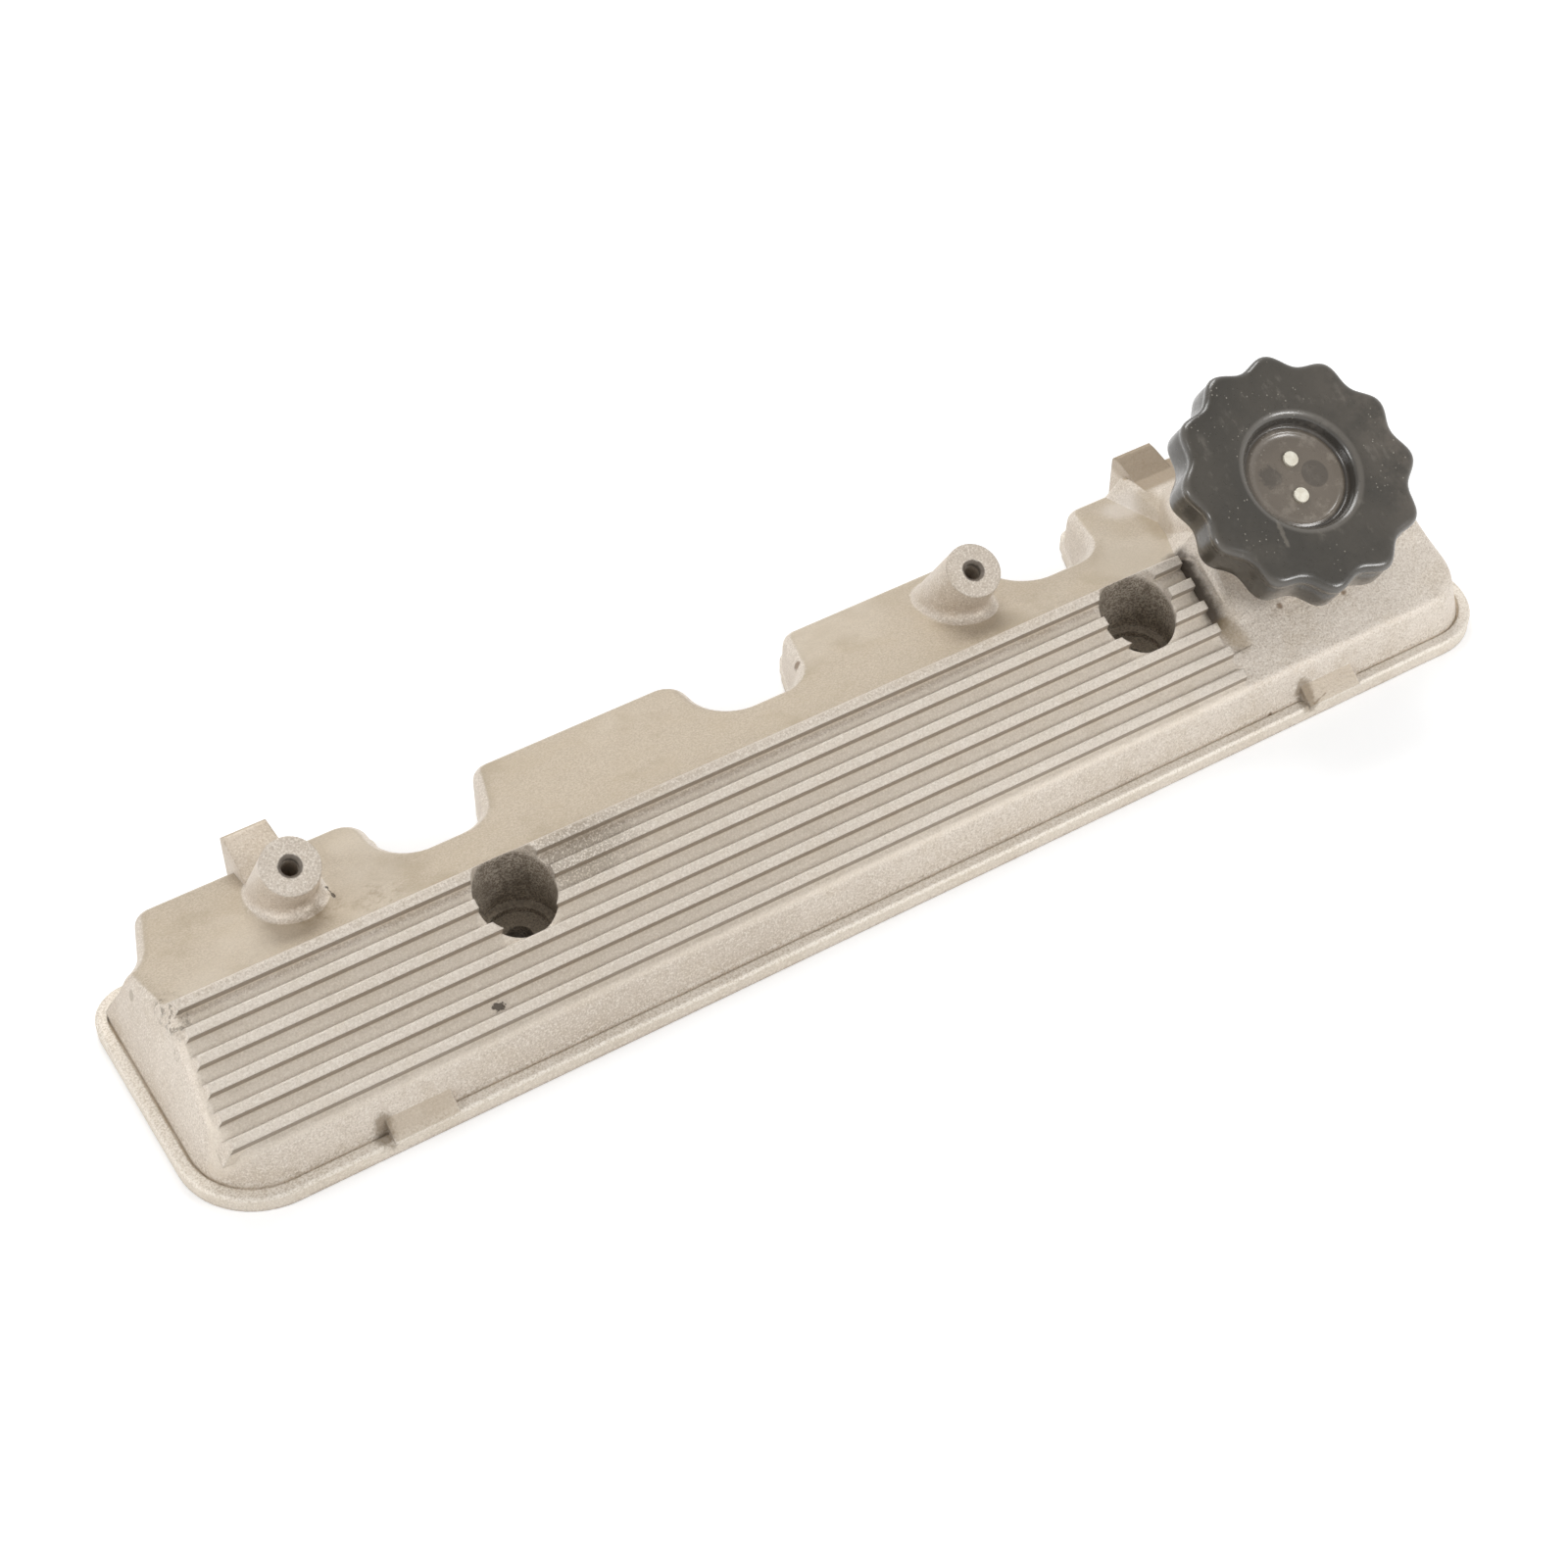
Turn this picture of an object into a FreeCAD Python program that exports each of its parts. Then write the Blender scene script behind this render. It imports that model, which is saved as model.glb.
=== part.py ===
import FreeCAD, Part
import Sketcher
import math
import os
import re
from FreeCAD import Placement, Rotation, Vector

# Engine valve cover: one aluminium casting and the bayonet oil filler cap that closes it.
# +X runs along the engine towards the filler end, +Y points to the spark plug side, +Z is up.
# The origin lies on the gasket plane, midway between the two cover bolts.

os.makedirs("parts", exist_ok=True)
doc = FreeCAD.newDocument("valve_cover")

# Driving dimensions, lengths in millimetres and angles in degrees
sizes = {
    # Plan of the casting, measured from the middle of the two bolts
    "cover_left": 215.8,
    "cover_right": 217,
    "cover_front": 39.1,
    "cover_back": 65,
    "cylinder_pitch": 104.8,
    "corner_front_left": 24,
    "corner_front_right": 20,
    "corner_back_left": 12,
    "corner_back_right": 11,
    # Flange with its raised outer lip
    "flange_thickness": 5,
    "lip_width": 3.5,
    "groove_depth": 1.1,
    "lip_bevel": 0.9,
    "lip_bevel_angle": 40,
    # Walls
    "wall_inset": 3.1,
    "wall_thickness": 4,
    "wall_reach": 58,
    "wall_draft": 15,
    "back_wall_draft": 7,
    "back_wall_spare": 8,
    "corner_least": 12.4,
    "overrun": 20,
    "cut_spare": 1,
    "edge_round": 4.5,
    # Roof: a ribbed front slope, a ridge and a plain rear slope
    "panel_tilt": 27,
    "rear_slope": 17.4,
    "ridge_back": 6.7,
    "ridge_height": 35.4,
    "roof_thickness": 4.5,
    "ridge_round": 8,
    "roof_front": 60,
    "roof_rear": 75,
    "roof_under": 5,
    # Ribs on the front slope
    "rib_count": 6,
    "rib_spacing": 7.9,
    "rib_top_width": 2.8,
    "rib_height": 2.5,
    "rib_flank": 0.65,
    "rib_left": 199.9,
    "rib_right": 125,
    "rib_end_slope": 67,
    "rib_end_skew": 0.08,
    "rib_end_spare": 2,
    "rib_end_start": 8,
    "rib_root": 5,
    # Spark plug notches in the rear side
    "notch_pitch": 105.2,
    "notch_shift": 2.7,
    "notch_front": 44.8,
    "notch_left": 14.6,
    "notch_right": 14.6,
    "notch_right_slant": 18,
    "notch_skew": 8.5,
    "notch_reach": 72,
    "notch_left_round": 12,
    "notch_right_round": 11,
    "bulge_left_round": 5.5,
    "bulge_right_round": 8,
    "lip_notch_front": 49.2,
    "lip_notch_left": 12.6,
    "lip_notch_right": 16.6,
    "lip_notch_right_outer": 21.6,
    "lip_notch_inner_round": 6.5,
    "lip_notch_outer_round": 5,
    # Cover bolts: wells in the roof, seats and pillars
    "well_radius": 11.7,
    "well_floor": 15.2,
    "seat_radius": 9.2,
    "seat_height": 13.2,
    "bolt_hole_radius": 3.9,
    "pillar_radius": 10,
    "well_wall": 3.2,
    # Tapped bosses on the rear slope
    "boss_first": 156.5,
    "boss_spacing": 221.5,
    "boss_back": 29.2,
    "boss_height": 45.3,
    "boss_radius": 8.5,
    "boss_root_radius": 10.4,
    "boss_length": 34,
    "boss_tilt": 28,
    "boss_root_round": 2.5,
    "tapped_radius": 2.5,
    "tapped_depth": 16,
    "tapped_chamfer": 0.8,
    # Machining pads, two at the front and two at the rear
    "pad_left": 163.4,
    "pad_spacing": 306.8,
    "pad_width": 19.4,
    "front_pad_slope": 36,
    "front_pad_depth": 14,
    "rear_pad_slope": 15,
    "rear_pad_top": 29.5,
    "rear_pad_back": 64.4,
    "rear_pad_depth": 22,
    "rear_pad_left": 163.9,
    "rear_pad_top_width": 13.4,
    "rear_pad_foot_width": 22,
    "rear_pad_round": 2,
    # Filler housing at the right end
    "housing_ridge_back": 12.4,
    "housing_ridge_height": 42.8,
    "housing_front": 23,
    "housing_front_height": 18.9,
    "housing_saddle": 31,
    "housing_saddle_height": 29.6,
    "housing_rear": 61,
    "housing_rear_height": 25,
    "housing_front_edge": 130.4,
    "housing_ridge_edge": 135.6,
    "housing_saddle_edge": 139,
    "housing_rear_edge": 141.5,
    "housing_side_slope": 50,
    "housing_floor": 8,
    "valley_left": 125,
    "valley_crest": 134.2,
    "valley_front": 21,
    "valley_rear": 9,
    "valley_front_depth": 0.9,
    "valley_rear_depth": 3.2,
    "valley_crest_rise": 5.8,
    # Filler neck, on an axis that leans to the front
    "cap_along": 159.2,
    "cap_back": -3.1,
    "cap_height": 64.9,
    "cap_tilt": 28,
    "neck_radius": 24,
    "neck_top": 10.9,
    "neck_lip": 4,
    "neck_reach": 45,
    "neck_bore_radius": 15.6,
    "throat_radius": 19.6,
    "lug_slot_radius": 18.9,
    "lug_slot_width": 10.4,
    "pedestal_top": 17,
    "pedestal_top_radius": 24.5,
    "pedestal_foot_radius": 26,
    # Filler cap
    "knob_peak_radius": 40.2,
    "knob_valley_radius": 35,
    "knob_peak_round": 5.2,
    "knob_valley_round": 9,
    "knob_lobes": 12,
    "knob_turn": 16,
    "knob_height": 14.5,
    "knob_edge_bevel": 1.8,
    "knob_wall": 3,
    "knob_skirt_radius": 30.8,
    "recess_radius": 16.8,
    "recess_depth": 5,
    "knob_floor": 3,
    "hub_radius": 12,
    "rivet_spread": 5.9,
    "rivet_angle": 75,
    "rivet_head_radius": 2.35,
    "rivet_head_height": 0.9,
    "rivet_shank_radius": 1.5,
    "rivet_clearance": 0.03,
    "seal_thickness": 2.3,
    "seal_inner_radius": 16,
    "seal_outer_radius": 22.5,
    "seal_clearance": 0.3,
    "plate_radius": 14.4,
    "plate_thickness": 1.5,
    "plate_gap": 0.6,
    "lug_radius": 18,
    "lug_width": 9,
}
sheet = doc.addObject("Spreadsheet::Sheet", "Sizes")
for row, (alias, number) in enumerate(sizes.items(), start=1):
    sheet.set("A%d" % row, alias)
    sheet.set("B%d" % row, str(number))
    sheet.setAlias("B%d" % row, alias)
doc.recompute()

alias_pattern = re.compile(r"\b(" + "|".join(sorted(sizes, key=len, reverse=True)) + r")\b")


def linked(expression):
    """Turn plain size names into references to the sheet."""
    return alias_pattern.sub(r"Sizes.\1", str(expression))


def value(expression):
    """Work out an expression of size names as a plain number."""
    result = sheet.evalExpression(linked(expression))
    return float(getattr(result, "Value", result))


def bind(item, prop, expression):
    item.setExpression(prop, linked(expression))


def closed_profile(name, corners, placement=None):
    """Draw a closed sketch. A corner is (x, y) or (x, y, radius), each an expression of sizes."""
    sketch = doc.addObject("Sketcher::SketchObject", name)
    if placement is not None:
        sketch.Placement = placement
    count = len(corners)
    points = [Vector(value(corner[0]), value(corner[1]), 0) for corner in corners]
    radii = [value(corner[2]) if len(corner) > 2 else 0.0 for corner in corners]
    line_starts = []
    line_ends = []
    rounds = {}
    for i in range(count):
        here = points[i]
        if radii[i] == 0:
            line_starts.append(here)
            line_ends.append(here)
            continue
        before = (points[i - 1] - here).normalize()
        after = (points[(i + 1) % count] - here).normalize()
        half = before.getAngle(after) / 2
        middle = here + (before + after).normalize() * (radii[i] / math.sin(half))
        first = here + before * (radii[i] / math.tan(half))
        last = here + after * (radii[i] / math.tan(half))
        turns_left = (before * -1).cross(after).z > 0
        angles = [math.atan2(p.y - middle.y, p.x - middle.x) for p in (first, last)]
        if not turns_left:
            angles.reverse()
        circle = Part.Circle(middle, Vector(0, 0, 1), radii[i])
        rounds[i] = (Part.ArcOfCircle(circle, angles[0], angles[1]), turns_left)
        line_ends.append(first)
        line_starts.append(last)
    geometry = [Part.LineSegment(line_starts[i], line_ends[(i + 1) % count]) for i in range(count)]
    geometry += [rounds[i][0] for i in sorted(rounds)]
    sketch.addGeometry(geometry, False)
    arc_of = {i: count + k for k, i in enumerate(sorted(rounds))}
    tip_of = {i: count + len(rounds) + k for k, i in enumerate(sorted(rounds))}
    if rounds:
        sketch.addGeometry([Part.Point(points[i]) for i in sorted(rounds)], True)
    constraints = []
    links = []
    for i in range(count):
        incoming = (i - 1) % count
        if i in rounds:
            near, far = (1, 2) if rounds[i][1] else (2, 1)
            constraints.append(Sketcher.Constraint("Tangent", incoming, 2, arc_of[i], near))
            constraints.append(Sketcher.Constraint("Tangent", i, 1, arc_of[i], far))
            constraints.append(Sketcher.Constraint("PointOnObject", tip_of[i], 1, incoming))
            constraints.append(Sketcher.Constraint("PointOnObject", tip_of[i], 1, i))
            links.append((len(constraints), corners[i][2]))
            constraints.append(Sketcher.Constraint("Radius", arc_of[i], radii[i]))
            anchor = tip_of[i]
        else:
            constraints.append(Sketcher.Constraint("Coincident", incoming, 2, i, 1))
            anchor = i
        links.append((len(constraints), corners[i][0]))
        constraints.append(Sketcher.Constraint("DistanceX", -1, 1, anchor, 1, points[i].x))
        links.append((len(constraints), corners[i][1]))
        constraints.append(Sketcher.Constraint("DistanceY", -1, 1, anchor, 1, points[i].y))
    sketch.addConstraint(constraints)
    for index, text in links:
        bind(sketch, "Constraints[%d]" % index, text)
    return sketch


def extrude(name, sketch, length, direction=None, draft=None, start=None):
    """Extrude a sketch into a solid, along its own normal or a given direction."""
    solid = doc.addObject("Part::Extrusion", name)
    solid.Base = sketch
    solid.Solid = True
    if direction is None:
        solid.DirMode = "Normal"
    else:
        solid.DirMode = "Custom"
        solid.Dir = direction
    bind(solid, "LengthFwd", length)
    if start is not None:
        bind(solid, "LengthRev", start)
    if draft is not None:
        bind(solid, "TaperAngle", draft)
    return solid


def join(name, parts):
    fused = doc.addObject("Part::MultiFuse", name)
    fused.Shapes = parts
    return fused


def overlap(name, parts):
    shared = doc.addObject("Part::MultiCommon", name)
    shared.Shapes = parts
    return shared


def remove(name, base, tool):
    cut = doc.addObject("Part::Cut", name)
    cut.Base = base
    cut.Tool = tool
    return cut


def stand(item, along, back, height, tilt="0"):
    """Put an item at a point, its axis leaning to the front by the tilt."""
    item.Placement = Placement(Vector(0, 0, 0), Rotation(Vector(1, 0, 0), value(tilt)))
    bind(item, "Placement.Base.x", along)
    bind(item, "Placement.Base.y", back)
    bind(item, "Placement.Base.z", height)
    bind(item, "Placement.Rotation.Angle", tilt)


def rod(name, radius, length, along, back, height, tilt="0"):
    item = doc.addObject("Part::Cylinder", name)
    bind(item, "Radius", radius)
    bind(item, "Height", length)
    stand(item, along, back, height, tilt)
    return item


def taper(name, foot_radius, top_radius, length, along, back, height, tilt="0"):
    item = doc.addObject("Part::Cone", name)
    bind(item, "Radius1", foot_radius)
    bind(item, "Radius2", top_radius)
    bind(item, "Height", length)
    stand(item, along, back, height, tilt)
    return item


def treat_edges(kind, name, base, choose):
    """Round or bevel edges of a solid: choose names the size for an edge, or gives nothing."""
    doc.recompute()
    chosen = [(i + 1, choose(edge)) for i, edge in enumerate(base.Shape.Edges)]
    treated = doc.addObject(kind, name)
    treated.Base = base
    treated.Edges = [(i, value(amount), value(amount)) for i, amount in chosen if amount]
    return treated


def round_edges(name, base, choose):
    return treat_edges("Part::Fillet", name, base, choose)


def bevel_edges(name, base, choose):
    return treat_edges("Part::Chamfer", name, base, choose)


def middle_of(edge):
    return edge.valueAt((edge.FirstParameter + edge.LastParameter) / 2)


# A sketch seen along +X: its own x is the cover's Y and its own y is the cover's Z.
SIDE = Placement(Vector(0, 0, 0), Rotation(Vector(0, 1, 0), Vector(0, 0, 1), Vector(1, 0, 0)))
# A sketch seen from the front: its own x is the cover's X and its own y is the cover's Z.
FRONT = Rotation(Vector(1, 0, 0), 90)
notch_numbers = [1, 0, -1, -2]


# Flange: the outline follows the spark plug notches, with a groove inside its raised lip
def notch_middle(number):
    return "%g * notch_pitch - notch_shift" % number


outline = [("-cover_left", "-cover_front", "corner_front_left"),
           ("cover_right", "-cover_front", "corner_front_right"),
           ("cover_right", "cover_back", "corner_back_right")]
for number in notch_numbers[:3]:
    middle = notch_middle(number)
    outline += [(middle + " + lip_notch_right_outer", "cover_back", "lip_notch_outer_round"),
                (middle + " + lip_notch_right", "lip_notch_front", "lip_notch_inner_round"),
                (middle + " - lip_notch_left", "lip_notch_front", "lip_notch_inner_round"),
                (middle + " - lip_notch_left", "cover_back", "lip_notch_outer_round")]
middle = notch_middle(notch_numbers[3])
outline += [(middle + " + lip_notch_right_outer", "cover_back", "lip_notch_outer_round"),
            (middle + " + lip_notch_right", "lip_notch_front", "lip_notch_inner_round"),
            ("-cover_left", "lip_notch_front", "corner_back_left")]
flange_outline = closed_profile("flange_outline", outline)
flange_plate = extrude("flange_plate", flange_outline, "flange_thickness - lip_bevel")
flange_crown = extrude("flange_crown", flange_outline, "lip_bevel", draft="-lip_bevel_angle")
bind(flange_crown, "Placement.Base.z", "flange_thickness - lip_bevel")
groove_outline = doc.addObject("Part::Offset2D", "groove_outline")
groove_outline.Source = flange_outline
bind(groove_outline, "Value", "-lip_width")
groove_raw = extrude("groove_raw", groove_outline, "groove_depth + cut_spare")
bind(groove_raw, "Placement.Base.z", "flange_thickness - groove_depth")
flange = remove("flange", join("flange_blank", [flange_plate, flange_crown]), groove_raw)


# Drafted walls, used once for the outside and once for the hollow
def walls(name, inset):
    corners = [("-cover_left + %s" % inset, "-cover_front + %s" % inset,
                "max(corner_front_left - %s; corner_least)" % inset),
               ("cover_right - %s" % inset, "-cover_front + %s" % inset,
                "max(corner_front_right - %s; corner_least)" % inset),
               ("cover_right - %s" % inset, "cover_back + back_wall_spare"),
               ("-cover_left + %s" % inset, "cover_back + back_wall_spare")]
    sketch = closed_profile(name + "_outline", corners)
    tapered = extrude(name + "_tapered", sketch, "wall_reach", draft="-wall_draft")
    lean_in = "%s + wall_reach * tan(back_wall_draft * 1 deg)" % inset
    limits = closed_profile(name + "_limits",
                            [("-cover_front", "0"),
                             ("cover_back - %s" % inset, "0"),
                             ("cover_back - (%s)" % lean_in, "wall_reach"),
                             ("-cover_front", "wall_reach")],
                            SIDE)
    slab = extrude(name + "_back", limits, "cover_right + overrun", start="cover_left + overrun")
    return overlap(name, [tapered, slab])


def roof(name, drop):
    """The two slopes of the long roof, as a prism that reaches past the cover on every side."""
    front = "roof_front"
    rear = "roof_rear"
    crest = "ridge_height - %s" % drop
    front_level = "%s - (%s + ridge_back) * tan(panel_tilt * 1 deg)" % (crest, front)
    rear_level = "%s - (%s - ridge_back) * tan(rear_slope * 1 deg)" % (crest, rear)
    corners = [("-" + front, "-roof_under"),
               (rear, "-roof_under"),
               (rear, rear_level),
               ("ridge_back", crest, "ridge_round"),
               ("-" + front, front_level)]
    sketch = closed_profile(name + "_profile", corners, SIDE)
    return extrude(name, sketch, "cover_right + overrun", start="cover_left + overrun")


def housing(name, drop, side):
    """The raised roof of the filler housing, its left side slanting down to the long roof."""
    far = "cover_right + overrun"
    sections = [("front", "-housing_front", "housing_front_height", "housing_front_edge"),
                ("ridge", "housing_ridge_back", "housing_ridge_height", "housing_ridge_edge"),
                ("saddle", "housing_saddle", "housing_saddle_height", "housing_saddle_edge"),
                ("rear", "housing_rear", "housing_rear_height", "housing_rear_edge")]
    sketches = []
    for label, back, top, edge in sections:
        height = "%s - %s" % (top, drop)
        run = "(%s - housing_floor) / tan(housing_side_slope * 1 deg)" % height
        corners = [("%s + %s - %s" % (edge, side, run), "housing_floor"),
                   (far, "housing_floor"),
                   (far, height),
                   ("%s + %s" % (edge, side), height)]
        sketch = closed_profile("%s_%s" % (name, label), corners)
        sketch.Placement = Placement(Vector(0, 0, 0), FRONT)
        bind(sketch, "Placement.Base.y", back)
        sketches.append(sketch)
    loft = doc.addObject("Part::Loft", name)
    loft.Sections = sketches
    loft.Solid = True
    loft.Ruled = True
    return loft


lean = Vector(0, -math.sin(math.radians(value("panel_tilt"))), math.cos(math.radians(value("panel_tilt"))))


def notch(name, number, grow):
    """A notch for a spark plug, leaning to the front and to the left as it rises."""
    middle = notch_middle(number)
    left = middle + " - notch_left - %s" % grow
    widening = "(1 - sin(notch_right_slant * 1 deg)) / cos(notch_right_slant * 1 deg)"
    right = middle + " + notch_right + %s * %s" % (grow, widening)
    front = "notch_front - %s" % grow
    corners = [(left, front + " + notch_reach"),
               (left, front, "notch_left_round + %s" % grow),
               (right, front, "notch_right_round + %s" % grow),
               (right + " + notch_reach * tan(notch_right_slant * 1 deg)", front + " + notch_reach")]
    sketch = closed_profile(name + "_outline", corners)
    skew = Vector(math.tan(math.radians(value("notch_skew"))), 0, 0)
    return extrude(name, sketch, "notch_reach", direction=lean - skew)


# Tapped bosses, square to their leaning faces
bosses = []
tapped_holes = []
for i in range(2):
    along = "-boss_first + %d * boss_spacing" % i
    foot_back = "boss_back + boss_length * sin(boss_tilt * 1 deg)"
    foot_height = "boss_height - boss_length * cos(boss_tilt * 1 deg)"
    bosses.append(taper("boss_%d" % (i + 1), "boss_root_radius", "boss_radius", "boss_length",
                        along, foot_back, foot_height, "boss_tilt"))
    hole_back = "boss_back + tapped_depth * sin(boss_tilt * 1 deg)"
    hole_height = "boss_height - tapped_depth * cos(boss_tilt * 1 deg)"
    tapped_holes.append(rod("tapped_hole_%d" % (i + 1), "tapped_radius", "tapped_depth + cut_spare",
                            along, hole_back, hole_height, "boss_tilt"))
    rim_back = "boss_back + tapped_chamfer * sin(boss_tilt * 1 deg)"
    rim_height = "boss_height - tapped_chamfer * cos(boss_tilt * 1 deg)"
    tapped_holes.append(taper("tapped_chamfer_%d" % (i + 1), "tapped_radius",
                              "tapped_radius + 2 * tapped_chamfer", "2 * tapped_chamfer",
                              along, rim_back, rim_height, "boss_tilt"))


def boss_foot(edge):
    """The rounding of the edge where a boss rises from the roof."""
    faces = boss_roof.Shape.ancestorsOfType(edge, Part.Face)
    on_boss = any(face.Surface.TypeId == "Part::GeomCone" for face in faces)
    return "boss_root_round" if on_boss and 5 < middle_of(edge).z < value("ridge_height") else None


boss_roof = join("boss_roof", [roof("long_roof", "0")] + bosses)
rounded_roof = round_edges("rounded_roof", boss_roof, boss_foot)
outer_walls = walls("outer_walls", "wall_inset")
outer_roof = join("outer_roof", [rounded_roof, housing("filler_housing", "0", "0")])
outer_mass = overlap("outer_mass", [outer_walls, outer_roof])
outer_notches = join("outer_notches", [notch("notch_%d" % (i + 1), number, "0")
                                       for i, number in enumerate(reversed(notch_numbers))])
outer_sharp = remove("outer_sharp", outer_mass, outer_notches)


def face_rise(face, point):
    """How far a face looks upward at a point, from 0 for upright to 1 for level."""
    u, v = face.Surface.parameter(point)
    return abs(face.normalAt(u, v).z)


def where_roof_meets_wall(solid):
    """Pick out the edges between the roof slopes and the steep sides."""
    def test(edge):
        point = middle_of(edge)
        rises = [face_rise(face, point) for face in solid.Shape.ancestorsOfType(edge, Part.Face)]
        meets = point.z > 12 and len(rises) == 2 and min(rises) < 0.5 and max(rises) > 0.6
        meets = meets and edge.Curve.TypeId != "Part::GeomCircle"
        return "edge_round" if meets else None
    return test


def back_corner(edge):
    """The rounding of an upright edge in the back wall, at an end of a bulge or of the cover."""
    start = edge.Vertexes[0].Point
    end = edge.Vertexes[-1].Point
    if min(start.z, end.z) > 0.01 or abs(start.z - end.z) < 10:
        return None
    if middle_of(edge).y < value("cover_back - wall_inset") - 5:
        return None
    if start.x > value("cover_right - wall_inset") - 10:
        return "corner_back_right"
    place = (start.x / value("notch_pitch") + value("notch_shift / notch_pitch")) % 1
    return "bulge_left_round" if place < 0.5 else "bulge_right_round"


outer_corners = round_edges("outer_corners", outer_sharp, back_corner)
doc.recompute()
outer_body = round_edges("outer_body", outer_corners, where_roof_meets_wall(outer_corners))
doc.recompute()


# Ribs, cast on the front slope and cut off slanting at their left ends
tilt = math.radians(value("panel_tilt"))
uphill = Vector(0, math.cos(tilt), math.sin(tilt))
panel_corner = Vector(0, value("ridge_back"), value("ridge_height"))
rib_plane = Placement(panel_corner, Rotation(uphill, lean, Vector(1, 0, 0)))
ribs = []
for i in range(int(value("rib_count"))):
    front = "-%d * rib_spacing" % i
    spread = "rib_flank * (1 + rib_root / rib_height)"
    corners = [(front + " - " + spread, "-rib_root"),
               (front + " + rib_top_width + " + spread, "-rib_root"),
               (front + " + rib_top_width", "rib_height"),
               (front, "rib_height")]
    section = closed_profile("rib_%d_section" % (i + 1), corners, rib_plane)
    ribs.append(extrude("rib_%d" % (i + 1), section, "rib_right", start="rib_left + overrun"))
rib_ends = closed_profile("rib_ends_profile",
                          [("-rib_left + rib_end_spare / tan(rib_end_slope * 1 deg)",
                            "rib_height + rib_end_spare"),
                           ("-rib_left - 2 * overrun", "rib_height + rib_end_spare"),
                           ("-rib_left - 2 * overrun", "-rib_root - 3"),
                           ("-rib_left - (rib_height + rib_root + 3) / tan(rib_end_slope * 1 deg)",
                            "-rib_root - 3")],
                          Placement(panel_corner + uphill * value("rib_end_start"), Rotation(Vector(1, 0, 0), lean, uphill * -1)))
down_the_slope = uphill * -1 - Vector(value("rib_end_skew"), 0, 0)
rib_end_cutter = extrude("rib_end_cutter", rib_ends, "rib_count * rib_spacing + overrun",
                         direction=down_the_slope)
rib_set = remove("rib_set", join("rib_pattern", ribs), rib_end_cutter)

# Machining pads
pads = []
for i in range(2):
    start = "-pad_left + %d * pad_spacing" % i
    front_profile = closed_profile("front_pad_%d_profile" % (i + 1),
                                   [("-cover_front", "0"),
                                    ("-cover_front + front_pad_depth", "0"),
                                    ("-cover_front + front_pad_depth",
                                     "flange_thickness + front_pad_depth * tan(front_pad_slope * 1 deg)"),
                                    ("-cover_front", "flange_thickness")],
                                   SIDE)
    bind(front_profile, "Placement.Base.x", start)
    pads.append(extrude("front_pad_%d" % (i + 1), front_profile, "pad_width"))
    start = "-rear_pad_left + %d * pad_spacing" % i
    side_profile = closed_profile("rear_pad_%d_side" % (i + 1),
                                  [("rear_pad_back - rear_pad_depth", "0"),
                                   ("rear_pad_back", "0"),
                                   ("rear_pad_back", "rear_pad_top", "rear_pad_round"),
                                   ("rear_pad_back - rear_pad_depth",
                                    "rear_pad_top - rear_pad_depth * tan(rear_pad_slope * 1 deg)")],
                                  SIDE)
    bind(side_profile, "Placement.Base.x", start)
    end_profile = closed_profile("rear_pad_%d_end" % (i + 1),
                                 [(start, "0"),
                                  (start + " + rear_pad_foot_width", "0"),
                                  (start + " + rear_pad_top_width", "rear_pad_top", "rear_pad_round"),
                                  (start, "rear_pad_top", "rear_pad_round")],
                                 Placement(Vector(0, 0, 0), FRONT))
    bind(end_profile, "Placement.Base.y", "rear_pad_back + 1")
    pads.append(overlap("rear_pad_%d" % (i + 1),
                        [extrude("rear_pad_%d_length" % (i + 1), side_profile, "rear_pad_foot_width"),
                         extrude("rear_pad_%d_depth" % (i + 1), end_profile, "rear_pad_depth + 2")]))

# Filler neck with its bayonet lip
def on_cap_axis(depth):
    """Where the cap axis is at a depth below the knob's top, as Y and Z."""
    return ("cap_back + (%s) * sin(cap_tilt * 1 deg)" % depth,
            "cap_height - (%s) * cos(cap_tilt * 1 deg)" % depth)


neck = rod("neck", "neck_radius", "neck_reach - neck_top", "cap_along",
           *on_cap_axis("neck_reach"), "cap_tilt")
pedestal = taper("pedestal", "pedestal_foot_radius", "pedestal_top_radius", "neck_reach - pedestal_top",
                 "cap_along", *on_cap_axis("neck_reach"), "cap_tilt")
lip_under = "(neck_top + neck_lip)"
neck_bore = rod("neck_bore", "neck_bore_radius", "neck_lip + 2", "cap_along",
                *on_cap_axis(lip_under + " + 1"), "cap_tilt")
throat = rod("throat", "throat_radius", "neck_reach + 6 - " + lip_under, "cap_along",
             *on_cap_axis("neck_reach + 6"), "cap_tilt")
slot_outline = closed_profile("lug_slot_outline",
                              [("-lug_slot_radius - 2", "-lug_slot_width / 2"),
                               ("lug_slot_radius + 2", "-lug_slot_width / 2"),
                               ("lug_slot_radius + 2", "lug_slot_width / 2"),
                               ("-lug_slot_radius - 2", "lug_slot_width / 2")])
stand(slot_outline, "cap_along", *on_cap_axis(lip_under + " + 1"), "cap_tilt")
lug_slots = overlap("lug_slots", [extrude("lug_slot_bar", slot_outline, "neck_lip + 2"),
                                  rod("lug_slot_round", "lug_slot_radius", "neck_lip + 2", "cap_along",
                                      *on_cap_axis(lip_under + " + 1"), "cap_tilt")])

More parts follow.
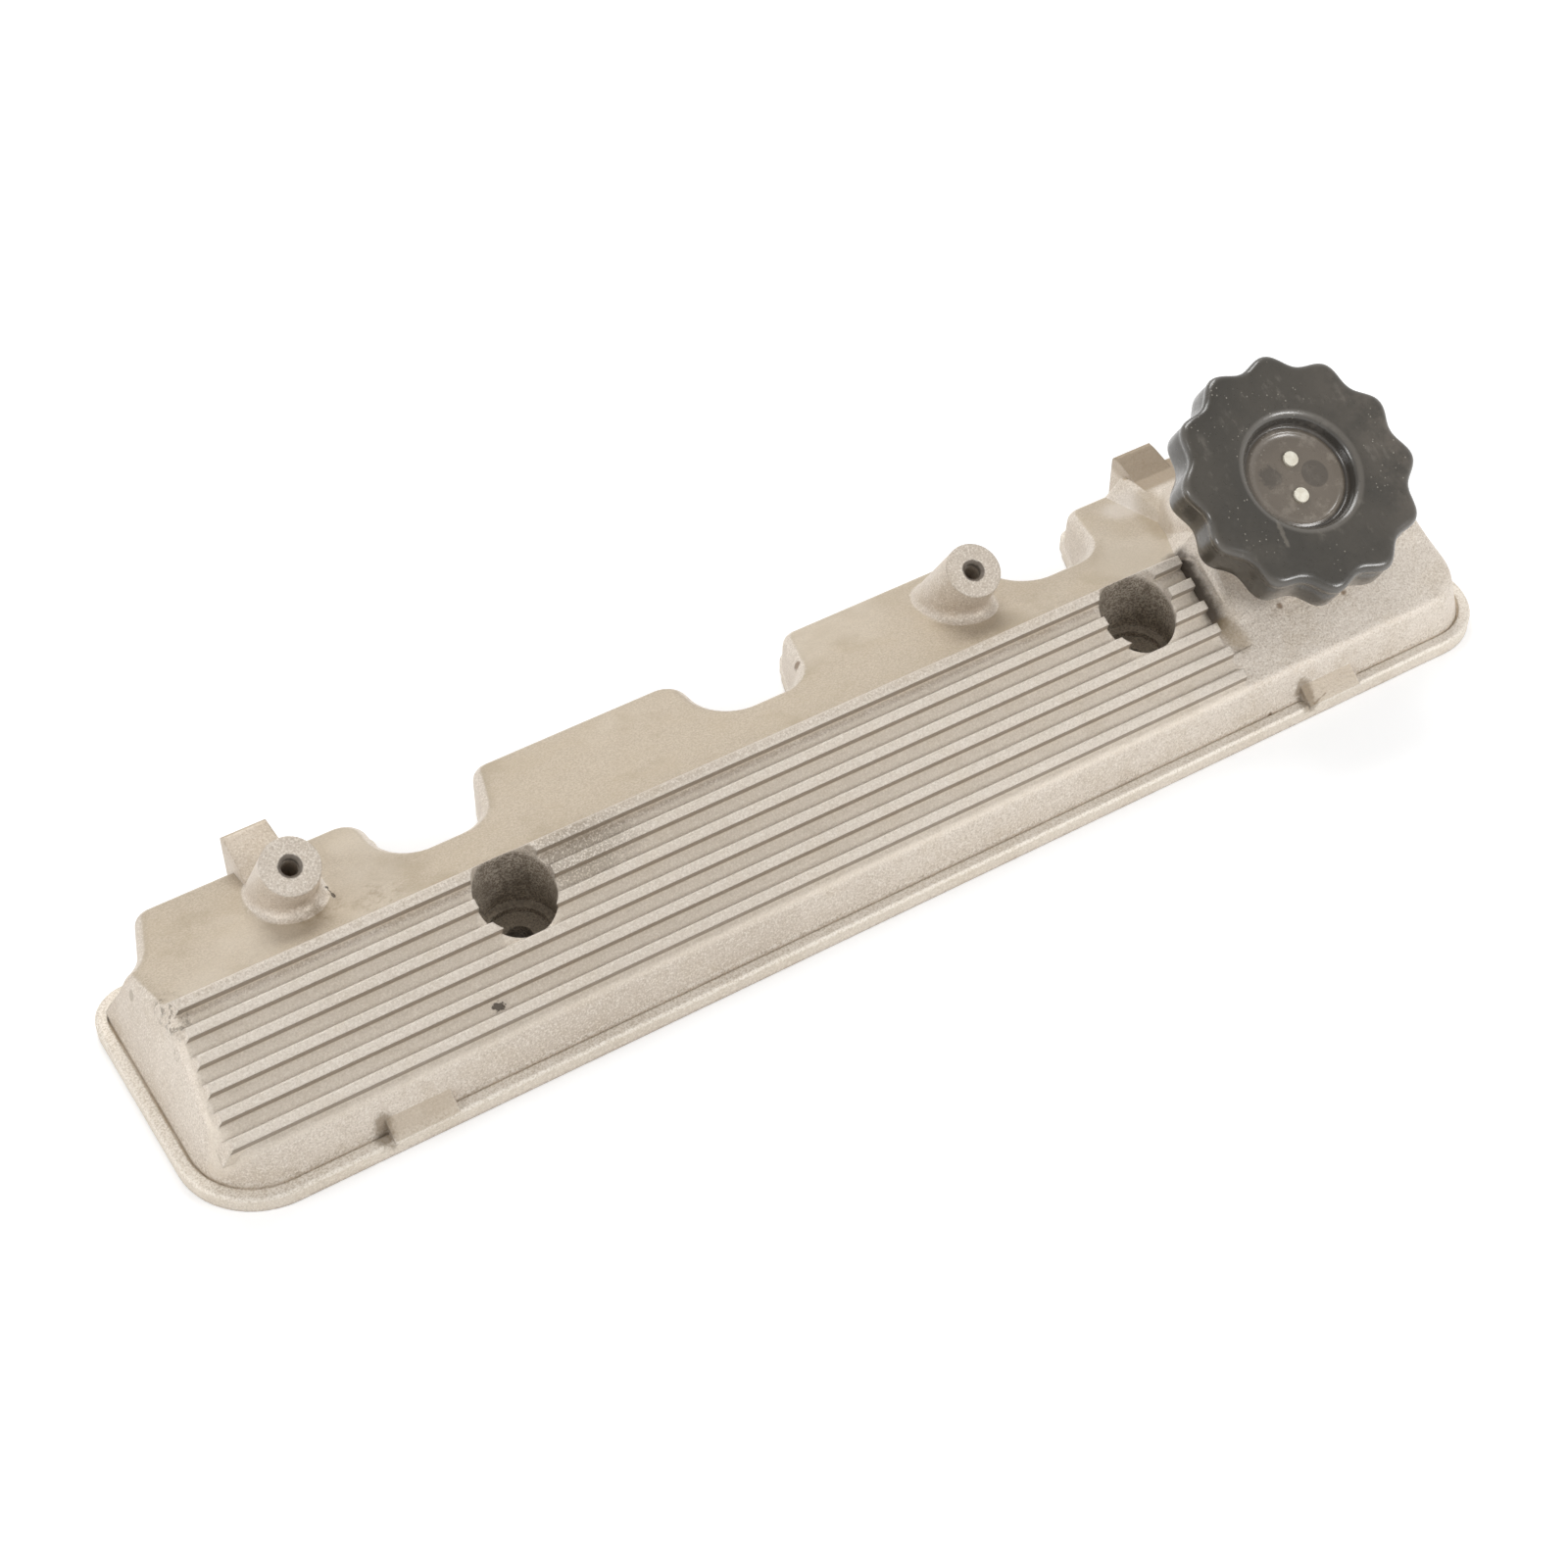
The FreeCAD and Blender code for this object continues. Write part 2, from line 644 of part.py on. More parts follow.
# Wells, seats and holes for the two cover bolts
wells = []
pillars = []
for i, along in enumerate(("-cylinder_pitch", "cylinder_pitch")):
    number = i + 1
    wells.append(rod("well_%d" % number, "well_radius", "wall_reach", along, "0", "well_floor"))
    wells.append(rod("seat_%d" % number, "seat_radius", "wall_reach", along, "0", "seat_height"))
    wells.append(rod("bolt_hole_%d" % number, "bolt_hole_radius", "wall_reach", along, "0", "-cut_spare"))
    pillars.append(rod("pillar_%d" % number, "pillar_radius", "wall_reach", along, "0", "-cut_spare"))
    pillars.append(rod("well_shell_%d" % number, "well_radius + well_wall", "wall_reach", along, "0",
                       "seat_height - wall_thickness"))

# Valley between the rib ends and the housing: one slanting flank, deepest at the ridge
valley_sections = []
for label, back, depth, rise in (("front", "-valley_front", "valley_front_depth", "0"),
                                 ("rear", "valley_rear", "valley_rear_depth", "valley_crest_rise")):
    level = "ridge_height - abs(ridge_back - (%s)) * tan(panel_tilt * 1 deg)" % back
    section = closed_profile("valley_" + label,
                             [("valley_left", level + " - " + depth),
                              ("valley_crest", level + " + " + rise),
                              ("valley_crest", level + " + 12"),
                              ("valley_left", level + " + 12")])
    section.Placement = Placement(Vector(0, 0, 0), FRONT)
    bind(section, "Placement.Base.y", back)
    valley_sections.append(section)
valley = doc.addObject("Part::Loft", "valley")
valley.Sections = valley_sections
valley.Solid = True
valley.Ruled = True

# Hollow underside, following the outside one wall thickness further in
inner_walls = walls("inner_walls", "(wall_inset + wall_thickness + 0.1)")
inner_roof = join("inner_roof", [roof("inner_long_roof", "roof_thickness"),
                                 housing("inner_housing", "roof_thickness", "wall_thickness")])
inner_mass = overlap("inner_mass", [inner_walls, inner_roof])
inner_notches = join("inner_notches", [notch("inner_notch_%d" % (i + 1), number, "wall_thickness")
                                       for i, number in enumerate(reversed(notch_numbers))])
kept = join("kept_in_hollow", [inner_notches] + pillars)
hollow = remove("hollow", inner_mass, kept)

# The casting in one piece
outer_with_valley = remove("outer_with_valley", outer_body, valley)
solid_casting = join("solid_casting", [outer_with_valley, rib_set, flange] + pads + [neck, pedestal])
cavities = join("cavities", wells + tapped_holes + [neck_bore, throat, lug_slots, hollow])
cover_casting = remove("cover_casting", solid_casting, cavities)
doc.recompute()


# Filler cap, drawn upright with the knob's top at zero and put on its leaning axis at the end
def lobe_corner(radius, steps):
    """A corner of the lobed outline, counted in half lobes from the knob's turn."""
    angle = "(knob_turn + %d * 180 / knob_lobes) * 1 deg" % steps
    return radius + " * cos(%s)" % angle, radius + " * sin(%s)" % angle


lobes = []
for i in range(int(value("knob_lobes"))):
    lobes.append(lobe_corner("knob_peak_radius", 2 * i) + ("knob_peak_round",))
    lobes.append(lobe_corner("knob_valley_radius", 2 * i + 1) + ("knob_valley_round",))
lobed_outline = closed_profile("lobed_outline", lobes)
bind(lobed_outline, "Placement.Base.z", "-knob_height")
knob_blank = extrude("knob_blank", lobed_outline, "knob_height")
recess = rod("recess", "recess_radius", "recess_depth + 2", "0", "0", "-recess_depth")
knob_recessed = remove("knob_recessed", knob_blank, recess)
knob_bevelled = bevel_edges("knob_bevelled", knob_recessed,
                            lambda edge: "knob_edge_bevel" if middle_of(edge).z > -0.01 else None)
hub_end = "(neck_top + neck_lip + plate_gap)"
seat_depth = "(recess_depth + knob_floor)"
lower_pocket = rod("lower_pocket", "knob_skirt_radius", "knob_height - %s + 5" % seat_depth,
                   "0", "0", "-knob_height - 5")
upper_pocket = remove("upper_pocket",
                      rod("upper_pocket_outer", "knob_skirt_radius", "%s - knob_wall + 1" % seat_depth,
                          "0", "0", "-%s - 1" % seat_depth),
                      rod("upper_pocket_inner", "neck_radius + 0.2", "%s" % seat_depth,
                          "0", "0", "-%s - 1" % seat_depth))
knob_hollow = join("knob_hollow", [lower_pocket, upper_pocket])
hub = rod("hub", "hub_radius", "%s - %s + 1" % (hub_end, seat_depth), "0", "0", "-" + hub_end)


def on_rivet(sign):
    return ("%d * rivet_spread * cos(rivet_angle * 1 deg)" % sign,
            "%d * rivet_spread * sin(rivet_angle * 1 deg)" % sign)


def rivet_holes(name):
    """Clearance holes for both rivets, through the hub and the plate."""
    return join(name, [rod("%s_%d" % (name, k), "rivet_shank_radius + rivet_clearance", "60",
                           *on_rivet(sign), "-40") for k, sign in enumerate((1, -1))])


knob_solid = join("knob_solid", [remove("knob_shell", knob_bevelled, knob_hollow), hub])
cap_knob = remove("cap_knob", knob_solid, rivet_holes("knob_rivet_holes"))

# Rivets with a flat head in the recess and a closing head under the plate
rivets = []
for k, sign in enumerate((1, -1)):
    along, back = on_rivet(sign)
    plate_under = "(%s + plate_thickness)" % hub_end
    head = rod("rivet_head_%d" % (k + 1), "rivet_head_radius", "rivet_head_height",
               along, back, "-recess_depth")
    shank = rod("rivet_shank_%d" % (k + 1), "rivet_shank_radius", "%s - recess_depth" % plate_under,
                along, back, "-" + plate_under)
    tail = rod("rivet_tail_%d" % (k + 1), "rivet_head_radius", "rivet_head_height", along, back,
               "-%s - rivet_head_height" % plate_under)
    rivets.append(join("cap_rivet_%d" % (k + 1), [head, shank, tail]))

# Bayonet plate with two lugs, in line with the slots of the neck
plate_outline = closed_profile("lug_bar_outline",
                               [("-lug_radius - 2", "-lug_width / 2"),
                                ("lug_radius + 2", "-lug_width / 2"),
                                ("lug_radius + 2", "lug_width / 2"),
                                ("-lug_radius - 2", "lug_width / 2")])
bind(plate_outline, "Placement.Base.z", "-%s - plate_thickness" % hub_end)
lug_bar = overlap("lug_bar", [extrude("lug_bar_blank", plate_outline, "plate_thickness"),
                              rod("lug_bar_round", "lug_radius", "plate_thickness", "0", "0",
                                  "-%s - plate_thickness" % hub_end)])
plate_disc = rod("plate_disc", "plate_radius", "plate_thickness", "0", "0",
                 "-%s - plate_thickness" % hub_end)
cap_bayonet_plate = remove("cap_bayonet_plate", join("plate_blank", [plate_disc, lug_bar]),
                           rivet_holes("plate_rivet_holes"))

# Rubber ring between the knob and the rim of the neck
seal_low = "-%s - seal_clearance - seal_thickness" % seat_depth
cap_seal = remove("cap_seal", rod("seal_disc", "seal_outer_radius", "seal_thickness", "0", "0", seal_low),
                  rod("seal_hole", "seal_inner_radius", "seal_thickness + 2", "0", "0", seal_low + " - 1"))

nodes = [cover_casting, cap_knob, rivets[0], rivets[1], cap_bayonet_plate, cap_seal]
for node in nodes[1:]:
    stand(node, "cap_along", "cap_back", "cap_height", "cap_tilt")
doc.recompute()

for item in doc.Objects:
    if "Invalid" in item.State or "Error" in item.State:
        raise RuntimeError("%s did not build: %s" % (item.Name, item.State))
for node in nodes:
    node.Label = node.Name
    if node.Shape.isNull() or not node.Shape.isValid() or len(node.Shape.Solids) != 1:
        raise RuntimeError("%s is not one sound solid" % node.Name)
    node.Shape.exportStep("parts/%s.step" % node.Name)
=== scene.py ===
import bpy
import math
from mathutils import Matrix, Vector


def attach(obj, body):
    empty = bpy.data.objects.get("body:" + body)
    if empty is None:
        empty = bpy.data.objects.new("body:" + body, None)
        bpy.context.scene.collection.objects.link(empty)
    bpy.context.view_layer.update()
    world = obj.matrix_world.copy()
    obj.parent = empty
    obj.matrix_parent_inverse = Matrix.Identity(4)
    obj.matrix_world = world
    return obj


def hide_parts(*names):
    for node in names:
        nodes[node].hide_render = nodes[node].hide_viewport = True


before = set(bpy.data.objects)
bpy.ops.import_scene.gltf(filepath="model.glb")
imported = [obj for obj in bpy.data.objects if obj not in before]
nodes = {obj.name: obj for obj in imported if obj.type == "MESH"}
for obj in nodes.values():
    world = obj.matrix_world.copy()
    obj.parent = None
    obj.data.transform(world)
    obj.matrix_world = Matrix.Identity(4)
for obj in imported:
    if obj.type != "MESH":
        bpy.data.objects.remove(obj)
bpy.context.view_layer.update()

# Places on the cover, in metres, in the cover's own frame
MM = 0.001
PANEL_TILT = math.radians(27)
CAP_TILT = math.radians(28)
RIDGE = Vector((0.0, 0.0067, 0.0354))
RIB_HEIGHT = 2.5 * MM
PANEL_RIGHT = 0.125
PANEL_DEPTH_MM = 44
WELL_RADIUS = 11.7 * MM
BOLTS = (Vector((-0.1048, 0.0, 0.0152)), Vector((0.1048, 0.0, 0.0152)))
BOSS_FACES = (Vector((-0.1565, 0.0292, 0.0453)), Vector((0.0650, 0.0292, 0.0453)))
KNOB_TOP = Vector((0.1592, -0.0031, 0.0649))
CAP_AXIS = Vector((0.0, -math.sin(CAP_TILT), math.cos(CAP_TILT)))
DISC = Vector((0.1658, -0.0017, 0.0598))
STAIN = Vector((0.1518, 0.0020, 0.0620))
SCRATCH = (Vector((0.1433, -0.0120, 0.0602)), Vector((0.1422, -0.0195, 0.0562)))

# Dirt, painted shade and marks on the casting: one point for a spot, two for a stroke
VALLEY = ((0.1272, 0.0110, 0.0345), (0.1268, -0.0100, 0.0256))
VALLEY_END = ((0.1286, -0.0130, 0.0244), (0.1305, -0.0185, 0.0222))
SHADED_FLANK = ((0.1400, 0.0440, 0.0272), (0.1352, 0.0260, 0.0305))
WORN_SHELF = (0.1349, 0.0476, 0.0226)
PAD_STAINS = (((0.1436, -0.0385, 0.0055), (0.1440, -0.0330, 0.0090)),
              ((-0.1650, -0.0370, 0.0045), (-0.1640, -0.0330, 0.0085)))
NICK = (-0.1238, -0.0239, 0.0198)
CRACK = ((-0.1464, 0.0325, 0.0276), (-0.1464, 0.0267, 0.0291))
FINE_CRACK = ((0.1451, -0.0388, 0.0053), (0.1504, -0.0376, 0.0061))
DIMPLE = (-0.2064, 0.0285, 0.0234)
ROUGH_RIB_END = (-0.2022, 0.0100, 0.0335)
ROUGH_CORNER = (-0.2053, -0.0001, 0.0277)
SMEAR = (-0.0850, 0.0020, 0.0330)
DRIFTS = ((-0.1522, 0.0247, 0.0302), (-0.1371, 0.0190, 0.0316))
# Pads along the cover, in millimetres: left and right end, and how soft each end is
RIGHT_REAR_PAD = (142.5, 161, 0.7, 2)
LEFT_REAR_PAD = (-164.5, -147, 1, 2)
FRONT_PADS = ((143, 163, 1, 1), (-163.6, -143.6, 1, 1))
# Rust spots: place, reach, soft rim and raggedness in millimetres
RUST_SPOTS = (((0.1482, -0.0144, 0.0247), 0.4, 1.1, 1.6), ((0.1698, -0.0185, 0.0226), 0.4, 1.0, 1.6),
              ((0.1315, -0.0348, 0.0045), 0.3, 0.8, 1.2), ((0.0118, 0.0424, 0.0224), 0.9, 1.2, 2.0))

# Camera, solved from the photograph
SENSOR_WIDTH = 36
FOCAL_LENGTH = 67.91
CAMERA_PLACE = (-0.3197, -0.4872, 0.6408)
CAMERA_RIGHT = (0.8508, -0.5255, 0.0)
CAMERA_BACK = (-0.3584, -0.5803, 0.7314)

# Light and floor
FLOOR_REACH = 6.0
FLOOR_DROP = 0.2 * MM
FLOOR_TONE = 0.82
FLOOR_GLOW = 0.3
HORIZON_LEVEL = 0.1
ZENITH_LEVEL = 0.95
HORIZON_STRENGTH = 0.84
ZENITH_STRENGTH = 0.44
# Lamps: name, place, aim, width, height and power
LAMPS = (("key", (0.25, 0.95, 1.1), (0, 0, 0), 0.8, 0.6, 9),
         ("front", (0.55, -0.85, 0.6), (0.1, 0, 0), 0.4, 0.3, 4.2),
         ("left", (-1.0, 0.05, 0.5), (0, 0, 0), 0.4, 0.3, 3))


def linear(red, green, blue):
    """A colour written as it looks, 0 to 255, as the shader's linear values."""
    out = []
    for level in (red, green, blue):
        share = level / 255
        out.append(share / 12.92 if share <= 0.04045 else ((share + 0.055) / 1.055) ** 2.4)
    return (out[0], out[1], out[2], 1.0)


class Graph:
    """A material and short names for the nodes it is built from."""

    def __init__(self, name):
        self.material = bpy.data.materials.new(name)
        self.material.use_nodes = True
        self.tree = self.material.node_tree
        self.tree.nodes.clear()
        self.output = self.tree.nodes.new("ShaderNodeOutputMaterial")
        self.shader = self.tree.nodes.new("ShaderNodeBsdfPrincipled")
        self.tree.links.new(self.shader.outputs[0], self.output.inputs[0])
        self.position = self.tree.nodes.new("ShaderNodeTexCoord").outputs["Object"]
        self.normal = self.tree.nodes.new("ShaderNodeNewGeometry").outputs["Normal"]
        self.unrest = None

    def put(self, socket, value):
        if isinstance(value, bpy.types.NodeSocket):
            self.tree.links.new(value, socket)
        elif isinstance(value, Vector):
            socket.default_value = tuple(value)
        else:
            socket.default_value = value

    def set(self, **levels):
        """Set uniform values on the shader's own sockets, spaces in their names as underscores."""
        for name, level in levels.items():
            self.shader.inputs[name.replace("_", " ")].default_value = level

    def finish(self, colour, roughness, normal, **levels):
        """Connect the three sockets that vary, set the uniform ones and give the material."""
        self.put(self.shader.inputs["Base Color"], colour)
        self.put(self.shader.inputs["Roughness"], roughness)
        self.put(self.shader.inputs["Normal"], normal)
        self.set(**levels)
        return self.material

    def math(self, operation, first, second=0.0, third=0.0, clamp=False):
        node = self.tree.nodes.new("ShaderNodeMath")
        node.operation = operation
        node.use_clamp = clamp
        for socket, value in zip(node.inputs, (first, second, third)):
            self.put(socket, value)
        return node.outputs[0]

    def vector(self, operation, first, second=(0, 0, 0), output=0):
        node = self.tree.nodes.new("ShaderNodeVectorMath")
        node.operation = operation
        self.put(node.inputs[0], first)
        self.put(node.inputs[1], second)
        return node.outputs[output]

    def split(self, vector):
        node = self.tree.nodes.new("ShaderNodeSeparateXYZ")
        self.put(node.inputs[0], vector)
        return node.outputs[0], node.outputs[1], node.outputs[2]

    def dot(self, first, second):
        return self.vector("DOT_PRODUCT", first, second, output=1)

    def noise(self, scale, detail=3.0, roughness=0.5, stretch=None):
        where = self.position
        if stretch is not None:
            where = self.vector("MULTIPLY", where, stretch)
        node = self.tree.nodes.new("ShaderNodeTexNoise")
        self.put(node.inputs["Vector"], where)
        node.inputs["Scale"].default_value = scale
        node.inputs["Detail"].default_value = detail
        node.inputs["Roughness"].default_value = roughness
        return node.outputs["Fac"]

    def cells(self, scale):
        """Distance to the nearest of many scattered points."""
        node = self.tree.nodes.new("ShaderNodeTexVoronoi")
        self.put(node.inputs["Vector"], self.position)
        node.inputs["Scale"].default_value = scale
        return node.outputs["Distance"]

    def ramp(self, value, low, high, bottom=0.0, top=1.0):
        """Smooth step of a value between low and high."""
        node = self.tree.nodes.new("ShaderNodeMapRange")
        node.interpolation_type = "SMOOTHSTEP"
        self.put(node.inputs["Value"], value)
        for name, level in (("From Min", low), ("From Max", high), ("To Min", bottom), ("To Max", top)):
            node.inputs[name].default_value = level
        return node.outputs[0]

    def span(self, value, low, high, soft_low, soft_high):
        """One between low and high, fading inwards over a soft rim at either end."""
        return self.both(self.ramp(value, low, low + soft_low), self.ramp(value, high, high - soft_high))

    def span_mm(self, value, low, high, soft_low, soft_high):
        """The same, with all four numbers in millimetres."""
        return self.span(value, low * MM, high * MM, soft_low * MM, soft_high * MM)

    def mix(self, share, first, second):
        node = self.tree.nodes.new("ShaderNodeMix")
        node.data_type = "RGBA"
        sockets = (node.inputs["Factor"], node.inputs[6], node.inputs[7])
        for socket, value in zip(sockets, (share, first, second)):
            self.put(socket, value)
        return node.outputs[2]

    def tint(self, base, mask, strength, colour):
        """Lay a colour over the base where the mask is one, at a strength."""
        return self.mix(self.math("MULTIPLY", mask, strength), base, colour)

    def both(self, *masks):
        """One where all the masks are one."""
        out = masks[0]
        for mask in masks[1:]:
            out = self.math("MULTIPLY", out, mask, clamp=True)
        return out

    def either(self, *masks):
        """One where any of the masks is one."""
        out = masks[0]
        for mask in masks[1:]:
            out = self.math("MAXIMUM", out, mask, clamp=True)
        return out

    def fray(self, distance, ragged):
        """Shift a distance by a noise that the marks of a material share, so that their rims are ragged."""
        if self.unrest is None:
            self.unrest = self.math("SUBTRACT", self.noise(520, 4, 0.65), 0.5)
        return self.math("MULTIPLY_ADD", self.unrest, ragged, distance)

    def near(self, spot, reach, soft, stretch=(1, 1, 1), ragged=0.0):
        """One inside a ball about a spot, fading to zero over its soft rim."""
        offset = self.vector("SUBTRACT", self.position, Vector(spot))
        offset = self.vector("MULTIPLY", offset, Vector(stretch))
        distance = self.vector("LENGTH", offset, output=1)
        if ragged:
            distance = self.fray(distance, ragged)
        return self.ramp(distance, reach + soft, reach)

    def stroke(self, start, end, width, soft, ragged=0.0):
        """One along a straight stroke between two points, fading over its soft rim."""
        start = Vector(start)
        run = Vector(end) - start
        offset = self.vector("SUBTRACT", self.position, start)
        share = self.math("DIVIDE", self.dot(offset, run), run.length_squared, clamp=True)
        node = self.tree.nodes.new("ShaderNodeVectorMath")
        node.operation = "SCALE"
        node.inputs[0].default_value = tuple(run)
        self.put(node.inputs["Scale"], share)
        aside = self.vector("SUBTRACT", offset, node.outputs[0])
        distance = self.vector("LENGTH", aside, output=1)
        if ragged:
            distance = self.fray(distance, ragged)
        return self.ramp(distance, width + soft, width)

    def bump(self, height, strength, distance, below=None):
        node = self.tree.nodes.new("ShaderNodeBump")
        node.inputs["Strength"].default_value = strength
        node.inputs["Distance"].default_value = distance
        self.put(node.inputs["Height"], height)
        if below is not None:
            self.put(node.inputs["Normal"], below)
        return node.outputs[0]

    def soft_edges(self, radius):
        """Normals rounded over at the sharp edges, as a casting's are."""
        node = self.tree.nodes.new("ShaderNodeBevel")
        node.samples = 4
        node.inputs["Radius"].default_value = radius
        return node.outputs[0]

    def shut(self, reach, low, high):
        """One in corners and hollows closer than a reach."""
        node = self.tree.nodes.new("ShaderNodeAmbientOcclusion")
        node.samples = 4
        node.inputs["Distance"].default_value = reach
        return self.ramp(node.outputs["AO"], high, low)


def dress(node_name, material):
    """Give a CAD node one material all over."""
    mesh = nodes[node_name].data
    for i in range(len(mesh.materials)):
        mesh.materials[i] = material
    if not mesh.materials:
        mesh.materials.append(material)


class CastingGraph(Graph):
    """The casting's material, with the places, directions and noises that its layers share."""

    def __init__(self):
        super().__init__("cast_aluminium")
        self.x, self.y, self.z = self.split(self.position)
        self.face_y, self.face_z = self.split(self.normal)[1:]
        self.broad = self.noise(14, 4, 0.6)
        self.blotch = self.noise(65, 4, 0.65)
        self.patch = self.noise(230, 4, 0.65)
        self.grain = self.noise(1750, 2, 0.6)
        self.speck = self.noise(2600, 2, 0.7)
        back = self.math("SUBTRACT", self.y, RIDGE.y)
        rise = self.math("SUBTRACT", self.z, RIDGE.z)
        self.above_front = self.math("SUBTRACT", self.math("MULTIPLY", rise, math.cos(PANEL_TILT)),
                                     self.math("MULTIPLY", back, math.sin(PANEL_TILT)))
        down = self.math("ADD", self.math("MULTIPLY", back, math.cos(PANEL_TILT)),
                         self.math("MULTIPLY", rise, math.sin(PANEL_TILT)))
        self.down_front = self.math("MULTIPLY", down, -1.0)
        self.panel = self.both(self.ramp(self.face_y, -0.3, -0.4),
                               self.ramp(self.x, PANEL_RIGHT, PANEL_RIGHT - MM),
                               self.span_mm(self.down_front, -1.5, PANEL_DEPTH_MM, 1, 2))


def bare_metal(g):
    """Blasted sand casting: broad shades, painted light towards the right end, then blotches, patches,
    bright and dark grains and specks.
    """
    colour = g.mix(g.ramp(g.broad, 0.35, 0.65), linear(201, 189, 175), linear(214, 203, 190))
    # Painted light: the right end is lightened, as if lit more strongly.
    colour = g.tint(colour, g.ramp(g.x, 60 * MM, 160 * MM), 0.6, linear(226, 216, 204))
    colour = g.tint(colour, g.ramp(g.blotch, 0.46, 0.7), 0.4, linear(196, 181, 160))
    colour = g.tint(colour, g.ramp(g.patch, 0.5, 0.7), 0.25, linear(188, 174, 156))
    colour = g.tint(colour, g.ramp(g.grain, 0.52, 0.64), 0.45, linear(246, 240, 230))
    colour = g.tint(colour, g.ramp(g.grain, 0.46, 0.36), 0.4, linear(163, 149, 131))
    return g.tint(colour, g.ramp(g.speck, 0.6, 0.72), 0.35, linear(134, 121, 105))


def rear_slope(g, colour):
    """The rear slope, smoother, warmer and duller than the rest."""
    rear = g.both(g.ramp(g.face_y, 0.12, 0.26), g.ramp(g.face_z, 0.8, 0.9))
    worn = g.mix(g.ramp(g.grain, 0.35, 0.65), linear(172, 157, 136), linear(192, 178, 157))
    worn = g.tint(worn, g.ramp(g.blotch, 0.4, 0.65), 0.4, linear(180, 164, 139))
    worn = g.tint(worn, g.ramp(g.noise(30, 4, 0.7), 0.5, 0.64), 0.6, linear(163, 147, 121))
    worn = g.tint(worn, g.ramp(g.broad, 0.52, 0.66), 0.5, linear(200, 188, 170))
    worn = g.tint(worn, g.ramp(g.speck, 0.66, 0.74), 0.35, linear(120, 104, 82))
    return g.tint(colour, rear, 0.85, worn)


def ribs(g, colour):
    """Rib tops paler; floors between them lightened with painted light, front flanks darkened with painted
    shade, upper edges lightened with a painted highlight.
    """
    top = g.both(g.panel, g.ramp(g.above_front, 0.7 * RIB_HEIGHT, 0.95 * RIB_HEIGHT))
    colour = g.tint(colour, top, 0.35, linear(226, 217, 205))
    # Painted light: the floors between the ribs are lightened to lift their shade.
    floors = g.both(g.panel, g.ramp(g.above_front, 0.5 * RIB_HEIGHT, 0.1 * RIB_HEIGHT))
    colour = g.tint(colour, floors, 0.45, linear(226, 215, 199))
    on_rib = g.both(g.ramp(g.above_front, 0.1 * MM, 0.5 * MM),
                    g.ramp(g.x, PANEL_RIGHT + 2 * MM, PANEL_RIGHT),
                    g.span_mm(g.down_front, -4, PANEL_DEPTH_MM + 0.5, 3, 1.5))
    # Painted shade: the front flanks of the ribs are darkened.
    flanks = g.both(on_rib, g.ramp(g.face_y, -0.8, -0.92))
    colour = g.tint(colour, flanks, 0.7, linear(118, 104, 88))
    # Painted highlight: the upper edges of the ribs are lightened.
    rib_edge_highlight = g.both(on_rib, g.ramp(g.face_y, 0.3, 0.6))
    return g.tint(colour, rib_edge_highlight, 0.7, linear(236, 229, 218))


def corner_dirt_and_painted_light(g, colour):
    """Dirt in corners, brown blotches in the groove of the flange, painted shade in the valley beside the
    filler housing, and painted light on the foot of the wall, in the groove and along the flange lip.
    """
    off_panel = g.math("SUBTRACT", 1.0, g.math("MULTIPLY", g.panel, 0.8))
    dirt = g.both(g.shut(3 * MM, 0.3, 0.8), g.ramp(g.noise(110, 4, 0.7), 0.35, 0.7), off_panel,
                  g.ramp(g.z, 4 * MM, 6 * MM))
    colour = g.tint(colour, dirt, 0.4, linear(150, 130, 102))
    # Painted shade: the valley beside the filler housing is darkened, less towards its front end.
    valley = g.stroke(*VALLEY, 1.2 * MM, 4.2 * MM, ragged=3 * MM)
    colour = g.tint(colour, valley, 0.92, linear(72, 60, 47))
    valley_end = g.stroke(*VALLEY_END, 1.2 * MM, 3.5 * MM, ragged=3 * MM)
    colour = g.tint(colour, valley_end, 0.55, linear(150, 130, 98))
    # Painted light: the foot of the wall is lightened to lift its shade.
    foot = g.span_mm(g.z, 0.6, 5.6, 0.6, 0.8)
    colour = g.tint(colour, foot, 0.3, linear(240, 230, 213))
    groove = g.both(g.span_mm(g.z, 1, 4.7, 1, 0.8), g.ramp(g.face_z, 0.7, 0.9))
    # Painted light: the groove is lightened to lift its shade; the brown blotches that follow are stains.
    colour = g.tint(colour, groove, 0.6, linear(244, 233, 215))
    colour = g.tint(colour, g.both(groove, g.ramp(g.blotch, 0.45, 0.6)), 0.5, linear(186, 163, 126))
    # Painted highlight: bright grains along the flange lip.
    flange_lip_highlight = g.both(g.span_mm(g.z, 3.6, 6.6, 0.8, 0.8), g.ramp(g.grain, 0.4, 0.55))
    return g.tint(colour, flange_lip_highlight, 0.4, linear(246, 240, 231))


